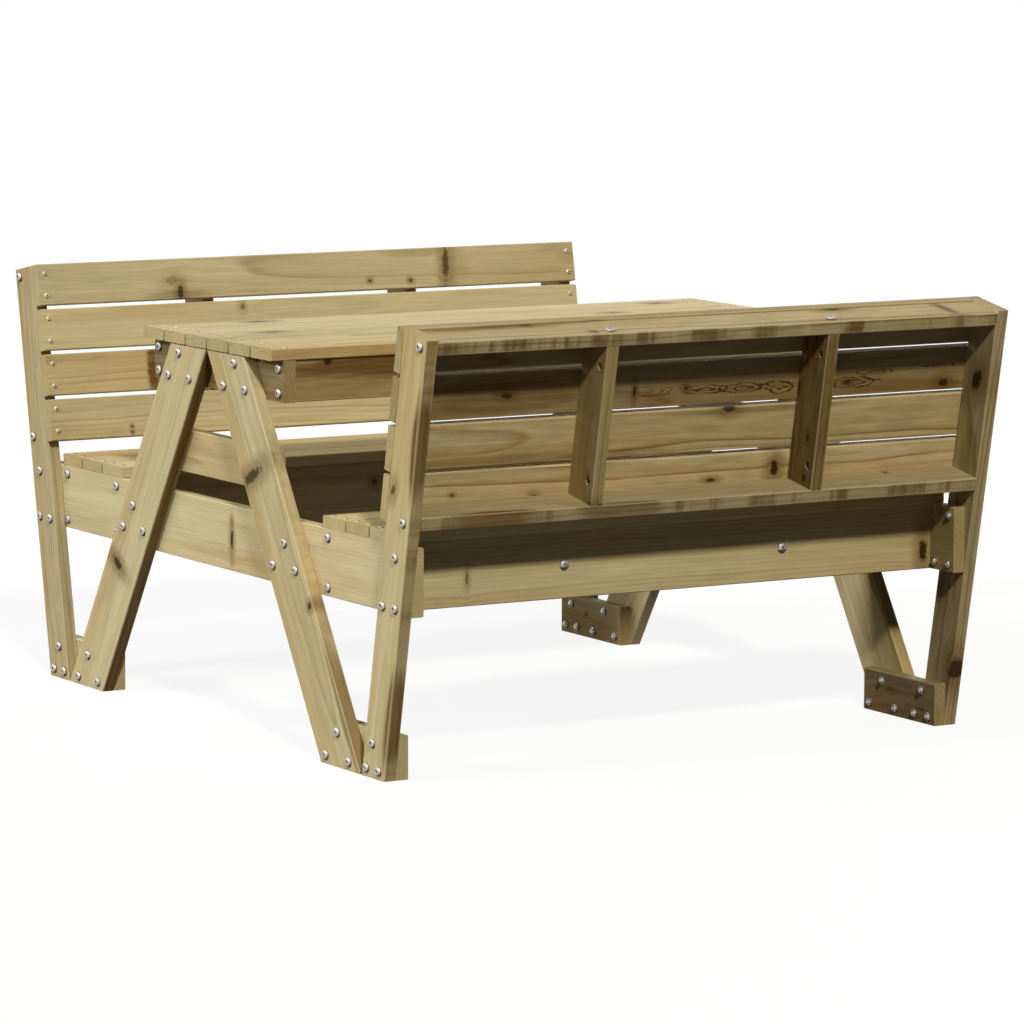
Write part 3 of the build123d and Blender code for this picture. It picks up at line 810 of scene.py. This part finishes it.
def makeScrew(shape):
    lobe, shank, length = shape["lobe"], shape["shank"], shape["length"]
    dome = domeProfile(shape, turning["screwSteps"])
    points = [(0, 0.2), (lobe, 0.3), (lobe, dome[0][1] - 0.15)]
    points += dome
    points += [(shape["radius"] - 0.1, -0.1), (shank, -0.1), (shank, shape["point"] - length),
               (0, -length)]
    made = spinProfile(points)
    for vert in made.verts:
        r, turn = math.hypot(vert.co.x, vert.co.y), math.atan2(vert.co.y, vert.co.x)
        if abs(r - lobe * mm) < 0.05 * mm and vert.co.z > 0.1 * mm:
            grown = 1 + shape["lobeDepth"] / lobe * math.cos(shape["lobes"] * turn)
            vert.co.x *= grown
            vert.co.y *= grown
    greySocket(made, lobe + 0.1)
    return toTemplate(made, "screw")


dowelShape = {"radius": 5.0, "length": 9, "segments": 28, "bevel": 0.4, "slot": 1.2,
              "slotDepth": 1.4, "sunk": 1.5}


def makeDowel(shape):
    made = bmesh.new()
    bmesh.ops.create_cone(made, cap_ends=True, segments=shape["segments"],
                          radius1=shape["radius"] * mm, radius2=shape["radius"] * mm,
                          depth=shape["length"] * mm)
    rims = [e for e in made.edges if abs(e.verts[0].co.z - e.verts[1].co.z) < 1e-6]
    bmesh.ops.bevel(made, geom=rims, offset=shape["bevel"] * mm, segments=2, affect="EDGES",
                    profile=0.5, material=-1)
    for way in (-1, 1):
        bmesh.ops.bisect_plane(made, geom=made.verts[:] + made.edges[:] + made.faces[:],
                               plane_co=(0, way * shape["slot"] / 2 * mm, 0), plane_no=(0, 1, 0))
    top = shape["length"] / 2 * mm
    for way in (-1, 1):
        strip = [f for f in made.faces if abs(f.calc_center_median().y) < shape["slot"] / 2 * mm
                 and abs(f.calc_center_median().z - way * top) < 1e-5]
        sunk = bmesh.ops.extrude_face_region(made, geom=strip)
        bmesh.ops.translate(made, vec=(0, 0, -way * shape["slotDepth"] * mm),
                            verts=[v for v in sunk["geom"] if isinstance(v, bmesh.types.BMVert)])
        bmesh.ops.delete(made, geom=strip, context="FACES")
    return toTemplate(made, "dowel")


def looseParts(name):
    # corner points of each separate solid in a CAD node, by place, so that each run deals the
    # same random turn to the same bolt
    source = bmesh.new()
    source.from_mesh(nodes[name].data)
    bmesh.ops.remove_doubles(source, verts=source.verts, dist=0.002 * mm)
    todo, parts = set(source.verts), []
    while todo:
        edge, found = [todo.pop()], []
        while edge:
            vert = edge.pop()
            found.append(tuple(vert.co))
            for link in vert.link_edges:
                other = link.other_vert(vert)
                if other in todo:
                    todo.remove(other)
                    edge.append(other)
        parts.append(np.array(sorted(found)))
    source.free()
    return sorted(parts, key=lambda part: tuple(part.mean(0).round(5)))


def boltSeat(points, length):
    # the foot of the head and the way it points, from the solid's long axis
    middle = points.mean(0)
    axis = np.linalg.svd(points - middle)[2][0]
    reach = (points - middle) @ axis
    wide = np.linalg.norm((points - middle) - np.outer(reach, axis), axis=1)
    if wide[reach > 0].max() < wide[reach < 0].max():
        axis, reach = -axis, -reach
    tip = (points[reach < reach.min() + 0.2 * mm]).mean(0)
    return Vector(tip) + Vector(axis) * length * mm, Vector(axis)


def setPieces(name, template, seats, replaced=None, steel=zincSteel, spinEach=True):
    dice = random.Random(len(seats) * 31 + len(name))
    made = bmesh.new()
    for place, way in seats:
        before = len(made.verts)
        made.from_mesh(template)
        made.verts.ensure_lookup_table()
        turn = way.to_track_quat("Z", "Y").to_matrix().to_4x4()
        if spinEach:
            turn = turn @ Matrix.Rotation(dice.uniform(0, math.tau), 4, "Z")
        bmesh.ops.transform(made, matrix=Matrix.Translation(place) @ turn,
                            verts=made.verts[before:])
    mesh = bpy.data.meshes.new(name)
    made.to_mesh(mesh)
    made.free()
    for polygon in mesh.polygons:
        polygon.use_smooth = True
    mesh.set_sharp_from_angle(angle=math.radians(turning["crisp"]))
    mesh.materials.append(steel)
    mesh.materials.append(socketGrey)
    piece = bpy.data.objects.new(name, mesh)
    bpy.context.scene.collection.objects.link(piece)
    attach(piece, "root")
    if replaced:
        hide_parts(replaced)
    return piece


fastenerLengths = {"lap_bolts": 36, "joint_bolts": 50}
for name, length in fastenerLengths.items():
    seats = [boltSeat(points, length) for points in looseParts(name)]
    bolt = makeBolt(boltShape, length - boltShape["short"])
    setPieces(name + "_domed", bolt, seats, name)
    print(name, "set:", len(seats))

nutSeats = []
for points in looseParts("cap_nuts"):
    way = -1 if points.mean(0)[0] > 0 else 1
    base = points[:, 0].max() if way < 0 else points[:, 0].min()
    foot = points[np.abs(points[:, 0] - base) < 0.05 * mm].mean(0)
    nutSeats.append((Vector(foot), Vector((way, 0, 0))))
setPieces("cap_nuts_domed", makeCapNut(capNutShape), nutSeats, "cap_nuts")
dowelSeats = []
for points in looseParts("dowel_nuts"):
    middle = (points.max(0) + points.min(0)) / 2
    seat = Vector(middle) + Vector((dowelShape["sunk"] * mm, 0, 0))
    dowelSeats.append((seat, Vector((-1, 0, 0))))  # the bores open to the left
setPieces("dowel_nuts_slotted", makeDowel(dowelShape), dowelSeats, "dowel_nuts", spinEach=False)
print("nuts set:", len(nutSeats), "and", len(dowelSeats))


# Pan-head screws that hold boards, slats and ties, four to each. Places are in mm, and footY is
# where the middle line of a leg would meet the floor.
screwPlaces = {"fromMiddle": 16, "boardX": 423, "slatX": 439, "footY": 377}


def screwSeats(places):
    seats = []
    for name in sorted(nodes):
        low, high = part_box(name)
        middle = (low + high) / 2
        ways = boardWays(name)
        for end, off in ((-1, -1), (-1, 1), (1, -1), (1, 1)):
            aside = off * places["fromMiddle"] * mm
            if name.startswith(("table_board", "seat_board")):
                way = Vector((0, 0, 1))
                place = Vector((end * places["boardX"] * mm, middle.y + aside, high.z))
            elif name.startswith("backrest_slat"):
                way = -ways["behindPost"]
                place = middle - ways["behindPost"] * kindOf(name)["half"][1] * mm
                place += ways["post"] * off * places["fromMiddle"] * mm
                place.x = end * places["slatX"] * mm
            elif name.startswith("leg_tie"):
                way = Vector((-1 if middle.x > 0 else 1, 0, 0))
                z = middle.z + aside
                lean = z / mm * math.tan(math.radians(boardLean["leg"]))
                place = Vector((low.x if middle.x > 0 else high.x,
                                end * ((places["footY"] - lean) * mm), z))
            else:
                continue
            seats.append((place, way))
    return seats


seats = screwSeats(screwPlaces)
setPieces("board_screws", makeScrew(screwShape), seats, steel=screwSteel)
print("screws set:", len(seats))


# Studio: a pale floor, a white surround, and level light from the left and above
lamps = {
    "keySun": {"travel": (0.24, 0.74, -0.64), "strength": 2.5, "angle": 5,
               "tint": (1.0, 0.96, 0.87)},
    "leftSun": {"travel": (0.906, 0.0, -0.42), "strength": 1.5, "angle": 9,
                "tint": (0.97, 1.0, 1.06)},
    "highSun": {"travel": (0.643, 0.0, -0.766), "strength": 0.7, "angle": 25,
                "tint": (1.0, 1.0, 1.0)},
    "backLeftSun": {"travel": (0.67, -0.67, -0.31), "strength": 0.8, "angle": 28,
                    "tint": (1.0, 1.0, 1.0)},
    "backRightSun": {"travel": (-0.65, -0.70, -0.20), "strength": 1.0, "angle": 25,
                     "tint": (1.0, 1.0, 1.0)},
}
surroundLook = {"seen": 1.0, "ambient": 0.03}
floorLook = {"size": 20, "shine": 0.88, "shadow": 0.12, "bounce": 0.11}


def makeLamps(looks):
    for name, look in looks.items():
        data = bpy.data.lights.new(name, "SUN")
        data.energy = look["strength"]
        data.color = look["tint"]
        data.angle = math.radians(look["angle"])
        lamp = bpy.data.objects.new(name, data)
        lamp.rotation_mode = "QUATERNION"
        lamp.rotation_quaternion = Vector(look["travel"]).to_track_quat("-Z", "Y")
        bpy.context.scene.collection.objects.link(lamp)


def seenRays(tree):
    # one where the eye, a reflection or glass looks, zero where light bounces
    path = addNode(tree, "ShaderNodeLightPath")
    return calc(tree, "MAXIMUM", path.outputs["Is Camera Ray"],
                calc(tree, "MAXIMUM", path.outputs["Is Glossy Ray"],
                     path.outputs["Is Transmission Ray"]))


def makeSurround(look):
    world = bpy.data.worlds.new("surround")
    bpy.context.scene.world = world
    world.use_nodes = True
    tree = world.node_tree
    tree.nodes.clear()
    background = addNode(tree, "ShaderNodeBackground")
    background.inputs["Color"].default_value = (1, 1, 1, 1)
    feed(tree, background.inputs["Strength"],
         calc(tree, "MULTIPLY_ADD", seenRays(tree), look["seen"] - look["ambient"],
              look["ambient"]))
    feed(tree, addNode(tree, "ShaderNodeOutputWorld").inputs[0], background.outputs[0])


def makeFloor(look):
    made = bmesh.new()
    bmesh.ops.create_grid(made, x_segments=2, y_segments=2, size=look["size"])
    mesh = bpy.data.meshes.new("floor")
    made.to_mesh(mesh)
    made.free()
    floor = bpy.data.objects.new("floor", mesh)
    bpy.context.scene.collection.objects.link(floor)
    material, tree = newMaterial("paleFloor")
    matt = addNode(tree, "ShaderNodeBsdfDiffuse")
    matt.inputs[0].default_value = (look["bounce"],) * 3 + (1,)
    seenMatt = addNode(tree, "ShaderNodeBsdfDiffuse")
    seenMatt.inputs[0].default_value = (look["shadow"],) * 3 + (1,)
    glow = addNode(tree, "ShaderNodeEmission")
    glow.inputs["Strength"].default_value = look["shine"]
    lit = addNode(tree, "ShaderNodeAddShader")
    feed(tree, lit.inputs[0], seenMatt.outputs[0])
    feed(tree, lit.inputs[1], glow.outputs[0])
    choose = addNode(tree, "ShaderNodeMixShader")
    feed(tree, choose.inputs[0], seenRays(tree))
    feed(tree, choose.inputs[1], matt.outputs[0])
    feed(tree, choose.inputs[2], lit.outputs[0])
    endMaterial(tree, choose)
    mesh.materials.append(material)


makeLamps(lamps)
makeSurround(surroundLook)
makeFloor(floorLook)
bpy.context.scene.view_settings.view_transform = "Standard"
print("studio lit")
